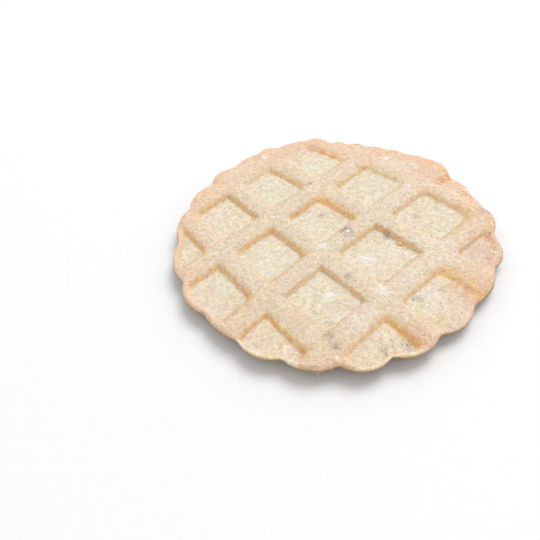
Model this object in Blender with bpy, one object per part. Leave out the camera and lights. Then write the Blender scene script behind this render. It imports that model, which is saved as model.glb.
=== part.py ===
"""Anise biscuit: a round, scallop-edged biscuit with a lattice pressed into its top.

The biscuit lies flat on its underside. Z is up, and the ribs of the lattice run at 45 degrees
to X and Y. The origin is on the underside, in the middle of the biscuit's bounding box.
"""

import math

import bmesh
import bpy

# Driving dimensions, in metres
MEAN_RADIUS = 0.0332
THICKNESS = 0.0046
PIT_DEPTH = 0.0014
RIB_WIDTH = 0.0048
RIM_LIP = 0.0016

# The edge: widest a little under the top, rounded over above and drawn in underneath
CROWN_RADIUS = 0.0012
WIDEST_HEIGHT = 0.0032
UNDERCUT = 0.0021
UNDERCUT_CURVE = 1.5
UNDERSIDE_SCALLOP_SHARE = 0.75

# Scallops, counter-clockwise from above: the angle of each notch in degrees, its radius and the
# radius of the lobe after it, both in millimetres. The back edge is softer than the front.
SCALLOPS = [
    (-156.0, 32.5, 33.7), (-139.0, 32.4, 32.95), (-123.0, 32.6, 33.8), (-107.5, 32.5, 33.8),
    (-90.0, 32.4, 33.9), (-73.5, 32.0, 33.35), (-55.5, 31.6, 33.1), (-37.0, 32.1, 33.4),
    (-21.5, 33.0, 34.0), (-4.5, 33.0, 34.15), (10.0, 32.8, 33.15), (27.0, 32.3, 34.25),
    (50.0, 32.5, 32.5), (61.5, 32.05, 32.35), (70.5, 31.75, 32.75), (80.5, 32.2, 32.8),
    (87.5, 32.3, 34.15), (113.5, 32.9, 34.0), (130.0, 32.6, 33.8), (147.0, 32.4, 33.8),
    (164.0, 32.5, 33.7), (184.0, 32.4, 33.7),
]
STEPS_PER_SCALLOP = 8
LOBE_SHARPNESS = 2.2

# The lattice's own centre, a rib crossing, seen from the middle of the scalloped outline
LATTICE_OFFSET = (-0.00196, -0.00751)

# Ribs: (offset, slope, bend) of each centre line, in millimetres along the other direction
RISING_RIBS = [(-31.5, 0.0, 0.0), (-15.6, 0.01, 0.0), (-0.2, -0.01, 0.001), (16.05, 0.005, 0.001),
               (32.0, 0.0, 0.0)]
FALLING_RIBS = [(-31.2, -0.06, 0.0), (-15.2, -0.09, 0.0), (-0.15, -0.055, 0.0),
                (15.95, 0.02, -0.0008), (31.2, 0.05, -0.0025), (47.0, 0.05, 0.0)]
CORNER_RADIUS = 0.0009
CORNER_STEPS = 3
FAINT_PIT_SHARE = 0.35
FAINT_PITS = {(4, 1), (4, 2)}

# Pit wall, from above the top down to the floor: (outset, share of the depth)
PIT_WALL = [(0.00055, -0.30), (0.00030, 0.04), (0.0, 0.32), (-0.00040, 0.80), (-0.00085, 1.0)]

CRUST_COLOUR = (0.80, 0.62, 0.38, 1.0)
CRUST_ROUGHNESS = 0.8


def clear_scene():
    for obj in list(bpy.data.objects):
        bpy.data.objects.remove(obj, do_unlink=True)


def scallop_radius(index, share):
    """Radius of the outline at a share of the way along one scallop, from its notch."""
    _, notch, crest = SCALLOPS[index]
    next_notch = SCALLOPS[(index + 1) % len(SCALLOPS)][1]
    base = notch + (next_notch - notch) * share
    swell = 1.0 - abs(2.0 * share - 1.0) ** LOBE_SHARPNESS
    return (base + (crest - (notch + next_notch) / 2.0) * swell) / 1000.0


def outline():
    """(angle, radius) all round the scalloped edge, counter-clockwise from above."""
    points = []
    for index, (start, _, _) in enumerate(SCALLOPS):
        end = SCALLOPS[(index + 1) % len(SCALLOPS)][0]
        if end <= start:
            end += 360.0
        for step in range(STEPS_PER_SCALLOP):
            share = step / STEPS_PER_SCALLOP
            angle = math.radians(start + (end - start) * share)
            points.append((angle, scallop_radius(index, share)))
    return points


def box_middle(points):
    """Middle of the outline's bounding box, seen from the middle of the outline."""
    xs = [radius * math.cos(angle) for angle, radius in points]
    ys = [radius * math.sin(angle) for angle, radius in points]
    return (min(xs) + max(xs)) / 2.0, (min(ys) + max(ys)) / 2.0


def edge_profile():
    """(inset, height, share of the scalloping) from the underside up to the flat top."""
    profile = []
    for step in range(5):
        drop = 1.0 - step / 5.0
        share = 1.0 - (1.0 - UNDERSIDE_SCALLOP_SHARE) * drop
        profile.append((UNDERCUT * drop ** UNDERCUT_CURVE, WIDEST_HEIGHT * (1.0 - drop), share))
    crown_height = THICKNESS - WIDEST_HEIGHT
    for step in range(5):
        turn = math.radians(90.0 * step / 4.0)
        inset = CROWN_RADIUS * (1.0 - math.cos(turn))
        profile.append((inset, WIDEST_HEIGHT + crown_height * math.sin(turn), 1.0))
    return profile


def shell_from_rings(name, rings):
    """A closed body through equal rings of points, lowest ring first, capped at both ends."""
    bm = bmesh.new()
    loops = [[bm.verts.new(point) for point in ring] for ring in rings]
    count = len(rings[0])
    for lower, upper in zip(loops, loops[1:]):
        for i in range(count):
            after = (i + 1) % count
            bm.faces.new((lower[i], lower[after], upper[after], upper[i]))
    bm.faces.new(list(reversed(loops[0])))
    bm.faces.new(loops[-1])
    mesh = bpy.data.meshes.new(name)
    bm.to_mesh(mesh)
    bm.free()
    return mesh


def ring_at(points, middle, inset, height, share):
    """One ring of the edge, with its scallops softened towards the mean radius."""
    ring = []
    for angle, radius in points:
        reach = MEAN_RADIUS + (radius - MEAN_RADIUS) * share - inset
        ring.append((reach * math.cos(angle) - middle[0], reach * math.sin(angle) - middle[1], height))
    return ring


def rib_line(rib, along):
    """Where a rib's centre line lies across the lattice, at a distance along it."""
    offset, slope, bend = rib
    return offset / 1000.0 + slope * along + bend * along * along * 1000.0


def crossing(rising, falling):
    """Lattice coordinates (u, v) where a rising rib meets a falling one."""
    u, v = falling[0] / 1000.0, rising[0] / 1000.0
    for _ in range(6):
        u, v = rib_line(falling, v), rib_line(rising, u)
    return u, v


def rounded_corners(corners):
    """The pit's outline, each corner turned by a short arc."""
    points = []
    for before, corner, after in zip(corners[-1:] + corners[:-1], corners, corners[1:] + corners[:1]):
        ends = []
        for other in (before, after):
            reach = math.dist(corner, other)
            share = CORNER_RADIUS / reach
            ends.append([c + (o - c) * share for c, o in zip(corner, other)])
        for step in range(CORNER_STEPS + 1):
            t = step / CORNER_STEPS
            points.append([
                (1 - t) ** 2 * a + 2 * t * (1 - t) * c + t ** 2 * b
                for a, c, b in zip(ends[0], corner, ends[1])
            ])
    return points


def pit_rings(row, column, middle):
    """Rings of the tapered cutter that leaves one pit between four ribs."""
    depth = PIT_DEPTH * (FAINT_PIT_SHARE if (column, row) in FAINT_PITS else 1.0)
    rings = []
    for outset, share in reversed(PIT_WALL):
        corners = []
        for falling, rising in ((0, 0), (1, 0), (1, 1), (0, 1)):
            u, v = crossing(RISING_RIBS[row + rising], FALLING_RIBS[column + falling])
            reach = RIB_WIDTH / 2.0 - outset
            u += reach if falling == 0 else -reach
            v += reach if rising == 0 else -reach
            corners.append((u, v))
        ring = []
        for u, v in rounded_corners(corners):
            x = (u + v) / math.sqrt(2.0) + LATTICE_OFFSET[0] - middle[0]
            y = (u - v) / math.sqrt(2.0) + LATTICE_OFFSET[1] - middle[1]
            ring.append((x, y, THICKNESS - depth * share))
        rings.append(list(reversed(ring)))
    return rings


def cutter(name, mesh):
    """A hidden helper object that only shapes the biscuit."""
    obj = bpy.data.objects.new(name, mesh)
    bpy.context.scene.collection.objects.link(obj)
    obj.hide_render = True
    obj.display_type = "WIRE"
    return obj


def pit_cutter(points, middle):
    """All the pits in one cutter, kept back from the edge by the rim's lip."""
    bm = bmesh.new()
    for row in range(len(RISING_RIBS) - 1):
        for column in range(len(FALLING_RIBS) - 1):
            piece = shell_from_rings("pit", pit_rings(row, column, middle))
            bm.from_mesh(piece)
            bpy.data.meshes.remove(piece)
    mesh = bpy.data.meshes.new("pits")
    bm.to_mesh(mesh)
    bm.free()
    pits = cutter("pits_cutter", mesh)

    rim_rings = [
        ring_at(points, middle, RIM_LIP - outset, THICKNESS - PIT_DEPTH * share * 1.2, 1.0)
        for outset, share in reversed(PIT_WALL)
    ]
    rim = cutter("rim_guard", shell_from_rings("rim_guard", rim_rings))
    keep = pits.modifiers.new("keep_inside_rim", "BOOLEAN")
    keep.operation = "INTERSECT"
    keep.object = rim
    return pits


def crust_material():
    material = bpy.data.materials.new("crust")
    material.use_nodes = True
    shader = material.node_tree.nodes["Principled BSDF"]
    shader.inputs["Base Color"].default_value = CRUST_COLOUR
    shader.inputs["Roughness"].default_value = CRUST_ROUGHNESS
    shader.inputs["Metallic"].default_value = 0.0
    return material


def build_biscuit():
    points = outline()
    middle = box_middle(points)
    rings = [ring_at(points, middle, *level) for level in edge_profile()]
    mesh = shell_from_rings("biscuit", rings)
    mesh.materials.append(crust_material())
    mesh.shade_smooth()
    mesh.set_sharp_from_angle(angle=math.radians(35.0))
    biscuit = bpy.data.objects.new("biscuit", mesh)
    bpy.context.scene.collection.objects.link(biscuit)
    press = biscuit.modifiers.new("pressed_lattice", "BOOLEAN")
    press.operation = "DIFFERENCE"
    press.object = pit_cutter(points, middle)
    return biscuit


clear_scene()
build_biscuit()
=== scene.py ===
import math
from itertools import product

import bmesh
import bpy
import numpy as np
from mathutils import Matrix, Vector, geometry
from mathutils.bvhtree import BVHTree


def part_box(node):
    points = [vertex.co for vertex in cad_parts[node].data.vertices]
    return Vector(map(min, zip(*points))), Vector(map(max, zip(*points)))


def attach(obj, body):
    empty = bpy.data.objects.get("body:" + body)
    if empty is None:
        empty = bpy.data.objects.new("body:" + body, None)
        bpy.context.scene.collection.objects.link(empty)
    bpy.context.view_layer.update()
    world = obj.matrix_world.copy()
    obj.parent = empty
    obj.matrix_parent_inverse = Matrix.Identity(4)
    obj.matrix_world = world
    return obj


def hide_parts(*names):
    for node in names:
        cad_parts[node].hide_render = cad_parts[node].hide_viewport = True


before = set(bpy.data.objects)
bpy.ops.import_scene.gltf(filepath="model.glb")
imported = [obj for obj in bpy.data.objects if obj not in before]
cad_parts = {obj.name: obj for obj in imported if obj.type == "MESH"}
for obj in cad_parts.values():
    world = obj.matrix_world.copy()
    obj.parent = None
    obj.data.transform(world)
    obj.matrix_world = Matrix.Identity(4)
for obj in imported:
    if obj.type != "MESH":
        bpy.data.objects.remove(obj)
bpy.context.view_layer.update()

cadLow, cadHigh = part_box("biscuit")
mm = 0.001
rootTwo = math.sqrt(2.0)

print("Frame loaded, CAD box", [round(value / mm, 2) for value in cadHigh - cadLow], "mm")


def srgb(red, green, blue):
    # a colour as read off a screen, 0 to 255, to the linear one that shaders take
    linear = []
    for value in (red, green, blue):
        share = value / 255.0
        linear.append(share / 12.92 if share <= 0.04045 else ((share + 0.055) / 1.055) ** 2.4)
    return (*linear, 1.0)


noiseTableSize = 64


def valueNoise(points, cell, seed):
    # smooth random field from -1 to 1, with about one bump in each cell
    rng = np.random.default_rng(seed)
    table = rng.uniform(-1.0, 1.0, (noiseTableSize,) * 3)
    spot = points / cell + rng.uniform(0.0, noiseTableSize, 3)
    base = np.floor(spot).astype(int)
    part = spot - base
    ease = part ** 3 * (part * (part * 6.0 - 15.0) + 10.0)
    total = np.zeros(len(points))
    for corner in product((0, 1), repeat=3):
        index = (base + corner) % noiseTableSize
        weight = np.prod(np.where(corner, ease, 1.0 - ease), axis=1)
        total += weight * table[index[:, 0], index[:, 1], index[:, 2]]
    return total


def layeredNoise(points, cell, seed, layers=3, fade=0.5):
    total, strength, reach = np.zeros(len(points)), 1.0, 0.0
    for layer in range(layers):
        total += strength * valueNoise(points, cell / 2.0 ** layer, seed + layer)
        reach += strength
        strength *= fade
    return total / reach


def smoothMin(a, b, reach):
    blend = np.clip(0.5 + 0.5 * (b - a) / reach, 0.0, 1.0)
    return b + (a - b) * blend - reach * blend * (1.0 - blend)


def smoothStep(low, high, value):
    share = np.clip((value - low) / (high - low), 0.0, 1.0)
    return share * share * (3.0 - 2.0 * share)


# All lengths are in millimetres. X and Y are seen from a crossing of two ribs, near the middle,
# and Z from the underside. u runs along the rising ribs and v along the falling ones.

# Unevenness of the baked dough: height, size of the bumps, seed, number of ever finer layers, and
# the share of the height that each next layer keeps
unevenness = {
    "outline": (0.07, 3.0, 101, 3, 0.5),
    "wanderU": (0.16, 5.0, 11, 3, 0.5),          # of the ribs
    "wanderV": (0.16, 5.0, 21, 3, 0.5),
    "rippleU": (0.07, 1.6, 15, 1, 0.5),
    "rippleV": (0.07, 1.6, 25, 1, 0.5),
    "topWave": (0.07, 9.0, 51, 2, 0.5),
    "floorWave": (0.07, 4.0, 41, 3, 0.5),        # of the pits
    "grooveBend": (0.35, 1.4, 61, 3, 0.5),
    "coarse": (0.036, 2.6, 201, 2, 0.5),         # on every side
    "fine": (0.034, 0.95, 211, 2, 0.7),
    "lumps": (0.13, 4.0, 301, 3, 0.5),           # round the side only
    "streaks": (0.022, 0.75, 311, 1, 0.5),
    "hollows": (1.0, 3.2, 321, 3, 0.5),          # in the underside
    "dents": (1.0, 1.0, 331, 1, 0.5),
    "brownPatches": (1.0, 5.0, 401, 3, 0.5),     # in the colour
    "toastPatches": (0.8, 1.6, 411, 3, 0.5),
    "wallPatches": (0.22, 1.5, 431, 3, 0.5),
}


def uneven(points, kind):
    height, cell, seed, layers, fade = unevenness[kind]
    return height * layeredNoise(points, cell, seed, layers, fade)


def onPlane(x, y):
    return np.c_[x, y, np.zeros(len(x))]


edge = {
    "meanRadius": 33.2,
    "centre": (1.96, 7.51),          # middle of the scalloped outline
    "roundest": -20.0,               # degrees, where the edge is most worn
    "roundSpread": 38.0,
    "undercutCurve": 1.2,
    "footRadius": 0.45,
    "undersideScallopShare": 0.75,
    "lobeSharpness": 2.2,
    "notchSoftness": 0.6,            # degrees
    "notchSoftest": 1.8,             # where the edge is roundest
    "innerSoftness": 1.7,
    "swellSoftness": 1.0,
    "notchReach": 0.5,               # share of the rounding that a notch may take away
    "lobeReach": 0.6,                # and how much a lobe may add
    "step": 0.22,                    # along the outline
    "crownRings": 9,
    "wallRings": 12,
    "wallSpacing": 0.85,             # below 1, the wall's rings lie closer together at its foot
}

# Scallops, counter-clockwise from above: angle of each notch, its radius, radius of the lobe after it
scallops = [
    (-156.0, 32.5, 33.7), (-139.0, 32.4, 32.95), (-123.0, 32.6, 33.8), (-107.5, 32.5, 33.8),
    (-90.0, 32.4, 33.9), (-73.5, 32.0, 33.35), (-55.5, 31.6, 33.1), (-37.0, 31.65, 33.25),
    (-18.6, 32.5, 34.4), (-2.0, 32.6, 34.5), (10.5, 33.4, 33.5), (18.5, 33.1, 33.6),
    (31.2, 32.5, 34.7), (46.0, 34.3, 33.8), (54.5, 32.7, 33.2), (63.5, 32.1, 32.35),
    (71.8, 31.6, 33.0), (80.4, 31.6, 33.3), (88.0, 31.9, 34.55), (98.0, 33.7, 34.1),
    (103.0, 33.9, 33.9), (112.0, 33.3, 34.9), (121.0, 32.9, 33.8), (133.5, 32.6, 33.8),
    (149.0, 32.4, 33.8), (165.0, 32.5, 33.7), (184.0, 32.4, 33.7),
]

# The edge's shape by angle: how far its rounding reaches in, height of its widest place, how far the
# wall is drawn in at the foot
edgeShape = [
    (-180.0, 0.65, 2.9, 2.1), (-128.0, 0.60, 3.0, 2.3), (-122.0, 0.42, 3.1, 2.5),
    (-102.0, 0.42, 3.1, 2.5), (-95.0, 0.70, 2.9, 2.4), (-86.0, 0.50, 3.1, 2.4),
    (-64.0, 0.50, 3.1, 2.4), (-52.0, 1.10, 2.7, 2.4), (-35.0, 1.50, 2.3, 2.5),
    (-10.0, 1.50, 2.3, 2.3), (15.0, 1.20, 2.6, 2.1), (45.0, 0.80, 2.9, 2.1), (90.0, 0.65, 2.9, 2.1),
]


def edgeShapeAt(angles):
    places, *parts = zip(*edgeShape)
    return [np.interp(angles, places, part, period=360.0) for part in parts]


def scallopAt(angles):
    # (radius, swell) of the bare scallops at angles in degrees; swell is 0 in a notch and 1 on a lobe
    starts = np.array([notch[0] for notch in scallops])
    ends = np.append(starts[1:], starts[0] + 360.0)
    notches = np.array([notch[1] for notch in scallops])
    crests = np.array([notch[2] for notch in scallops])
    nextNotches = np.roll(notches, -1)
    turned = (np.asarray(angles) - starts[0]) % 360.0 + starts[0]
    index = np.searchsorted(starts, turned, side="right") - 1
    share = (turned - starts[index]) / (ends[index] - starts[index])
    swell = 1.0 - np.abs(2.0 * share - 1.0) ** edge["lobeSharpness"]
    base = notches[index] + (nextNotches[index] - notches[index]) * share
    rise = crests[index] - (notches[index] + nextNotches[index]) / 2.0
    return base + rise * swell, swell


outlineSteps = 3600
kernelSpreads = 4.0                  # how far a soft average reaches, in its own spreads
outlineAngles = np.arange(outlineSteps) * 360.0 / outlineSteps - 180.0


def softened(values, degrees):
    # the same closed row of values, with its sharp notches rounded
    reach = int(kernelSpreads * degrees * outlineSteps / 360.0)
    offsets = np.arange(-reach, reach + 1) * 360.0 / outlineSteps
    kernel = np.exp(-0.5 * (offsets / degrees) ** 2)
    kernel /= kernel.sum()
    return np.convolve(np.r_[values[-reach:], values, values[:reach]], kernel, mode="valid")


def roundness(angles):
    # 1 where the edge is roundest, falling to 0 away from there
    away = (np.asarray(angles) - edge["roundest"] + 180.0) % 360.0 - 180.0
    return np.exp(-(away / edge["roundSpread"]) ** 2)


bareRadius, bareSwell = scallopAt(outlineAngles)
circlePoints = edge["meanRadius"] * onPlane(np.cos(np.radians(outlineAngles)),
                                            np.sin(np.radians(outlineAngles)))
outlineRadii = softened(bareRadius, edge["notchSoftness"])
outlineRadii += roundness(outlineAngles) * (softened(bareRadius, edge["notchSoftest"]) - outlineRadii)
outlineRadii += uneven(circlePoints, "outline")
outlineSwell = softened(bareSwell, edge["swellSoftness"])
innerRadii = softened(outlineRadii, edge["innerSoftness"])    # the notches fade towards the inside
innerSlopes = np.gradient(innerRadii, np.radians(360.0 / outlineSteps)) / innerRadii


def aroundOutline(table, angles):
    return np.interp(angles, outlineAngles, table, period=360.0)


def aroundCentre(x, y):
    # (angle in degrees, distance) seen from the middle of the outline
    dx, dy = x - edge["centre"][0], y - edge["centre"][1]
    return np.degrees(np.arctan2(dy, dx)), np.hypot(dx, dy)


def fromCentre(angles, distance):
    # and back to (x, y)
    turned = np.radians(angles)
    return edge["centre"][0] + distance * np.cos(turned), edge["centre"][1] + distance * np.sin(turned)


outlineX, outlineY = fromCentre(outlineAngles, outlineRadii)


def toFrame(points):
    # millimetres seen from the rib crossing to metres in the shared frame: the left and front
    # edges lie where the CAD's do
    shift = (outlineX.min() - cadLow.x / mm, outlineY.min() - cadLow.y / mm, 0.0)
    return (np.asarray(points) - shift) * mm


lattice = {
    # (offset, slope, bend) of each rib's centre line, along the other direction
    "risingRibs": [(-48.0, 0.0, 0.0), (-32.0, 0.0, 0.0), (-16.1, 0.01, 0.0), (-0.7, -0.01, 0.001),
                   (15.55, 0.005, 0.001), (31.5, 0.0, 0.0)],
    "fallingRibs": [(-30.8, -0.06, 0.0), (-14.8, -0.09, 0.0), (0.25, -0.055, 0.0),
                    (16.35, 0.02, -0.0008), (31.6, 0.05, -0.0025), (47.4, 0.05, 0.0)],
    "pitch": 16.0,
    "ribWidth": 4.8,
    "ribCrown": 0.32,                # how far a rib falls from its middle to its shoulder
    "topDrop": 0.07,                 # rib tops under the full thickness
    "rimFall": 0.22,                 # how far the top sinks towards the edge
    "rimFallExtra": 0.22,            # and how much more where the edge is roundest
    "rimFallReach": 4.5,
    "notchDip": 0.22,
    "notchDipReach": 1.6,
    "cornerReach": 0.8,
    "flareReach": 1.1,
    "sideBlend": 0.30,               # over what share of a wall's run the finish of two walls mixes
    "shallowest": 0.04,
    "deepest": 1.55,
}
# The painted highlight on the lip before a rim, a pale band along its ridge
lip = {
    "band": (-1.1, -0.5, -0.1, 0.3),  # where the lip before a rim starts, is full, fades and ends
    "ends": 0.4,
    "widestSlope": 1.0,              # only a slope to the rim that is narrower has one
}

# The wall between a rib and a pit: distance into the pit over the wall's run, share of the depth
wallShape = [(-1.0, 0.0), (-0.65, 0.02), (-0.42, 0.07), (-0.22, 0.17), (-0.06, 0.34), (0.06, 0.55),
             (0.16, 0.76), (0.25, 0.91), (0.33, 0.98), (0.45, 1.0)]

pitSides = ("front", "back", "left", "right")
# Pit walls are painted brown: the bake's browning together with painted shade in the recess
brownAndShadeBands = {                       # where the brown of each wall starts, is full, fades and ends
    "front": (-0.6, 0.1, 0.25, 0.42), "back": (-0.80, 0.0, 0.39, 0.52),
    "left": (-0.75, 0.10, 0.28, 0.40), "right": (-0.9, 0.0, 0.25, 0.38),
    "rim": (-0.8, 0.1, 0.25, 0.40),
}

# Each pit by its column and row: depth in its middle, how the depth grows along u and v, the run of
# its slope to the rim and the width left there. Its four walls are (run, how far the wall is set
# back into the rib, how brown it is painted: browning and painted shade); "back" and "left" face the
# viewer.
pitDefaults = {"depth": 1.2, "growU": 0.0, "growV": 0.0, "rim": 1.1, "lip": 1.3,
               "back": (1.0, 0.0, 0.65), "left": (0.8, -0.1, 0.6),
               "front": (1.6, 0.1, 0.3), "right": (1.9, 0.1, 0.75)}
noPit = {"depth": 0.0}
pits = {
    (0, 1): {}, (1, 1): {},
    (2, 1): {"depth": 1.0, "back": (1.4, -0.1, 0.6), "left": (1.8, 0.0, 0.15), "rim": 2.2, "lip": 2.2},
    (3, 1): {"depth": 0.56, "growU": 0.02, "back": (1.3, -0.45, 0.95),
             "left": (3.0, -1.5, 0.0), "rim": 3.0, "lip": 1.6},
    (0, 2): {"depth": 1.3, "growV": -0.03}, (1, 2): {"depth": 1.3},
    (2, 2): {"back": (1.6, -0.60, 0.82), "left": (1.0, -0.29, 0.72), "front": (1.5, 0.2, 0.4),
             "right": (1.5, 0.3, 0.7)},
    (3, 2): {"depth": 1.0, "growU": -0.075, "back": (2.3, 0.5, 0.38), "left": (1.0, -0.35, 0.45),
             "front": (1.5, 0.2, 0.35), "right": (1.9, 0.0, 0.55)},
    (4, 2): {"depth": 0.12, "back": (3.0, 0.0, 0.2), "left": (2.0, 0.0, 0.2), "rim": 3.0, "lip": 3.0},
    (0, 3): {"depth": 1.2, "growU": -0.01, "rim": 0.75, "lip": 0.58, "back": (0.8, -0.30, 1.0),
             "left": (0.6, -0.25, 0.7)},
    (1, 3): {"depth": 1.2, "growU": -0.02, "growV": -0.02, "back": (0.45, 0.1, 0.75),
             "left": (0.5, 0.1, 0.52), "front": (2.2, 0.0, 0.4), "right": (1.9, 0.25, 0.65)},
    (2, 3): {"depth": 1.25, "growU": -0.01, "back": (0.6, 0.35, 0.56), "left": (0.6, 0.12, 0.5),
             "front": (1.3, -0.4, 0.3), "right": (1.9, 0.0, 0.70)},
    (3, 3): {"growU": -0.06, "back": (1.8, 0.74, 0.43), "left": (0.85, -0.15, 0.42),
             "front": (1.3, -0.45, 0.3), "right": (1.9, 0.2, 0.8)},
    (4, 3): {"depth": 0.40, "left": (1.3, 0.0, 0.5), "back": (2.5, 0.0, 0.3), "rim": 4.0, "lip": 4.0},
    (0, 4): {},
    (1, 4): {"depth": 1.2, "growU": -0.01, "rim": 0.8, "lip": 0.65, "back": (1.2, -0.22, 0.83),
             "left": (1.0, -0.34, 0.6)},
    (2, 4): {"depth": 0.95, "growU": 0.02, "growV": -0.055, "rim": 2.2, "lip": -1.0,
             "back": (2.4, -0.72, 0.88), "left": (1.0, -0.24, 0.55), "front": (1.8, 0.4, 0.3),
             "right": (1.9, 4.0, 0.45)},
    (3, 4): {"depth": 0.85, "growV": -0.05, "rim": 2.4, "lip": 1.3, "left": (0.6, -0.1, 0.9)},
}

pores = {
    "seed": 31,
    "count": 300,
    "radius": (0.14, 0.40),
    "depth": (0.03, 0.11),
    "edgeGap": 1.5,
    "reach": 3.0,                    # in radii
}

grooveFade = 0.2                     # share of its length over which a groove fades at each end

# Small grooves in the top: (x, y) of both ends, width and depth
grooves = [
    ((25.9, 21.5), (29.8, 23.6), 0.45, 0.30), ((21.6, 26.3), (26.4, 29.7), 0.32, 0.20),
    ((33.0, 5.4), (35.0, 5.9), 0.45, 0.25), ((-7.5, -10.2), (-5.4, -12.9), 0.20, 0.14),
    ((22.1, 6.1), (22.9, 5.3), 0.30, 0.16), ((17.6, -15.0), (20.4, -18.0), 0.22, 0.09),
    ((-5.0, -13.6), (-4.0, -15.0), 0.18, 0.08), ((1.7, -24.4), (2.4, -22.0), 0.40, 0.14),
    ((16.5, -19.3), (17.6, -20.2), 0.50, 0.12), ((-3.8, -24.9), (-5.6, -23.2), 0.40, 0.10),
]


def ribLine(rib, along):
    offset, slope, bend = rib
    return offset + slope * along + bend * along * along


def pitAt(column, row):
    return {**pitDefaults, **pits.get((column, row), noPit)}


def pitTable(key, part=None):
    # one value for every pit, or one part of it
    columns, rows = len(lattice["fallingRibs"]) - 1, len(lattice["risingRibs"]) - 1
    table = np.zeros((columns, rows))
    for column, row in product(range(columns), range(rows)):
        value = pitAt(column, row)[key]
        table[column, row] = value if part is None else value[part]
    return table


def crownReach(angles):
    # how far in the rounding starts: less in a notch, more on a lobe
    reach = edgeShapeAt(angles)[0]
    change = aroundOutline(innerRadii, angles) - aroundOutline(outlineRadii, angles)
    return reach - np.clip(change, -edge["lobeReach"], edge["notchReach"] * reach)


def fineRelief(points):
    # small unevenness of the baked surface, for every side of the biscuit
    return uneven(points, "coarse") + uneven(points, "fine")


def latticePlace(x, y):
    # (u, v) of points in a lattice whose ribs wander a little
    flat = onPlane(x, y)
    u = (x + y) / rootTwo + uneven(flat, "wanderU") + uneven(flat, "rippleU")
    v = (x - y) / rootTwo + uneven(flat, "wanderV") + uneven(flat, "rippleV")
    return u, v


def poreDepth(x, y):
    # small burst bubbles and pricks all over the top
    rng = np.random.default_rng(pores["seed"])
    total = np.zeros(len(x))
    spread = edge["meanRadius"] - pores["edgeGap"]
    for _ in range(pores["count"]):
        angle, share = rng.uniform(0.0, 2.0 * math.pi), math.sqrt(rng.uniform())
        centreX = edge["centre"][0] + spread * share * math.cos(angle)
        centreY = edge["centre"][1] + spread * share * math.sin(angle)
        radius, depth = rng.uniform(*pores["radius"]), rng.uniform(*pores["depth"])
        away = (x - centreX) ** 2 + (y - centreY) ** 2
        near = away < (pores["reach"] * radius) ** 2
        total[near] += depth * np.exp(-away[near] / radius ** 2)
    return total


def grooveDepth(x, y):
    bend = uneven(onPlane(x, y), "grooveBend")
    total = np.zeros(len(x))
    for (startX, startY), (endX, endY), width, depth in grooves:
        runX, runY = endX - startX, endY - startY
        length = math.hypot(runX, runY)
        along = ((x - startX) * runX + (y - startY) * runY) / length ** 2
        across = ((x - startX) * runY - (y - startY) * runX) / length + bend
        ends = smoothStep(-grooveFade, grooveFade, along)
        ends = ends * (1.0 - smoothStep(1.0 - grooveFade, 1.0 + grooveFade, along))
        total = np.maximum(total, depth * ends * np.exp(-(across / width) ** 2))
    return total


def cellsAt(u, v):
    # the column and row of the cell that points lie in, and how far they are past its four ribs
    pastFalling = np.array([u - ribLine(rib, v) for rib in lattice["fallingRibs"]])
    pastRising = np.array([v - ribLine(rib, u) for rib in lattice["risingRibs"]])
    column = np.clip((pastFalling > 0).sum(axis=0) - 1, 0, len(pastFalling) - 2)
    row = np.clip((pastRising > 0).sum(axis=0) - 1, 0, len(pastRising) - 2)
    each = np.arange(len(u))
    past = {"front": pastFalling[column, each], "back": -pastFalling[column + 1, each],
            "left": pastRising[row, each], "right": -pastRising[row + 1, each]}
    return column, row, past


def pitPlace(into):
    # how far points are into their pit, with its corners rounded
    lengthways = smoothMin(into["front"], into["back"], lattice["cornerReach"])
    sideways = smoothMin(into["left"], into["right"], lattice["cornerReach"])
    inner = smoothMin(lengthways, sideways, lattice["cornerReach"])
    return smoothMin(inner, into["rim"], lattice["flareReach"])


def wallLooks(into, brownAndShadeBySide, inner):
    # how brown the walls are painted, browning together with painted shade, and the share of the two
    # walls that face away from the viewer
    nearest = np.min(list(into.values()), axis=0)
    pull = {side: np.exp(-(into[side] - nearest) / lattice["sideBlend"]) for side in into}
    total = sum(pull.values())
    brown = sum(pull[side] * brownAndShadeBySide[side] for side in into) / total
    band = [sum(pull[side] * brownAndShadeBands[side][part] for side in into) / total for part in range(4)]
    brown = brown * smoothStep(band[0], band[1], inner) * (1.0 - smoothStep(band[2], band[3], inner))
    return brown, (pull["front"] + pull["right"]) / total


def lipHighlight(into, slope):
    # painted highlight: the pale band on the lip that stands before the rim
    begins, full, fades, ends = lip["band"]
    share = smoothStep(begins, full, into["rim"]) * (1.0 - smoothStep(fades, ends, into["rim"]))
    share = share * (slope < lip["widestSlope"])
    insideWalls = np.min([into[side] for side in pitSides], axis=0)
    return share * smoothStep(-lip["ends"], lip["ends"], insideWalls)


def pitDepth(flat, here, past):
    middleU = (past["front"] - past["back"]) / 2.0
    middleV = (past["left"] - past["right"]) / 2.0
    depth = here["depth"] + here["growU"] * middleU + here["growV"] * middleV
    depth = np.clip(depth, 0.0, lattice["deepest"]) + uneven(flat, "floorWave")
    return np.where(here["depth"] > 0.0, np.clip(depth, lattice["shallowest"], None), 0.0)


def ribLevel(flat, angle, inset, swell, past):
    # height of the top without its pits, pores and grooves
    half = lattice["ribWidth"] / 2.0
    pastShoulder = np.min(list(past.values()), axis=0) - half
    crownFall = lattice["ribCrown"] * np.clip(1.0 + pastShoulder / half, 0.0, 1.0) ** 2
    rimShare = 1.0 - np.clip(inset / lattice["rimFallReach"], 0.0, 1.0)
    rimFall = lattice["rimFall"] + lattice["rimFallExtra"] * roundness(angle)
    nearNotch = np.exp(-np.clip(inset, 0.0, None) / lattice["notchDipReach"])
    dip = lattice["notchDip"] * (1.0 - swell) * nearNotch * (1.0 - roundness(angle))
    level = cadHigh.z / mm - lattice["topDrop"] + uneven(flat, "topWave")
    return level - crownFall - rimFall * rimShare ** 2 - dip


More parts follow.
